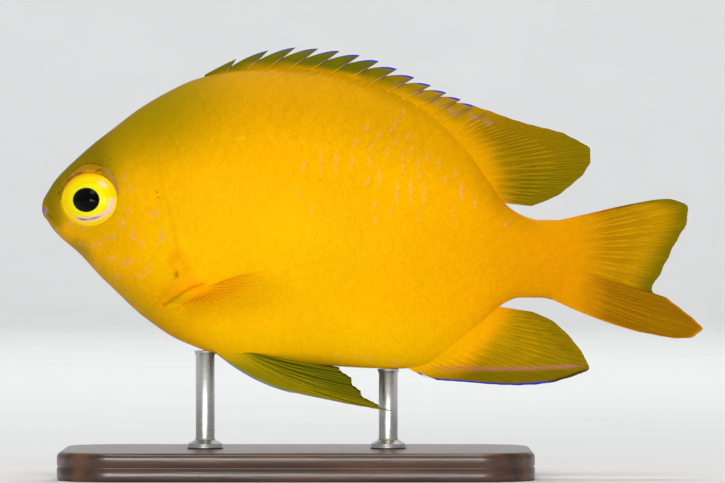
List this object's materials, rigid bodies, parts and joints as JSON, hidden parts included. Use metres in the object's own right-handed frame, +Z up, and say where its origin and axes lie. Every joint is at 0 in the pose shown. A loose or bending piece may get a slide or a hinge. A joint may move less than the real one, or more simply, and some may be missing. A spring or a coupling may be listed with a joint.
{
  "type": "lemon damselfish model",
  "caption": "Life-size still model of a lemon damselfish, deep-bodied and yellow with spread fins, held over a flat base by short rods.",
  "frame": {"origin": "middle of the underside of the stand's base, under the middle of the fish's body", "axes": "+X towards the tail, +Z up, the fish's left side towards -Y"},
  "size_m": [0.0702, 0.0312, 0.0455],
  "materials": {
    "skin": "golden yellow scaled skin, satin",
    "fin": "olive yellow ray fins, thin and slightly see-through in life",
    "eye": "yellow iris and black pupil under a clear wet cornea",
    "wood": "dark stained hardwood, satin",
    "steel": "brushed stainless rod"
  },
  "bodies": {
    "root": {"head": "skin", "gill_cover_left": "skin", "gill_cover_right": "skin", "torso": "skin", "tail_base": "skin", "eye_left": "eye", "eye_right": "eye", "dorsal_fin": "fin", "anal_fin": "fin", "caudal_fin": "fin", "pelvic_fin_left": "fin", "pelvic_fin_right": "fin", "pectoral_fin_left": "fin", "pectoral_fin_right": "fin", "stand_base": "wood", "stand_rod_front": "steel", "stand_rod_rear": "steel"}
  },
  "joints": []
}
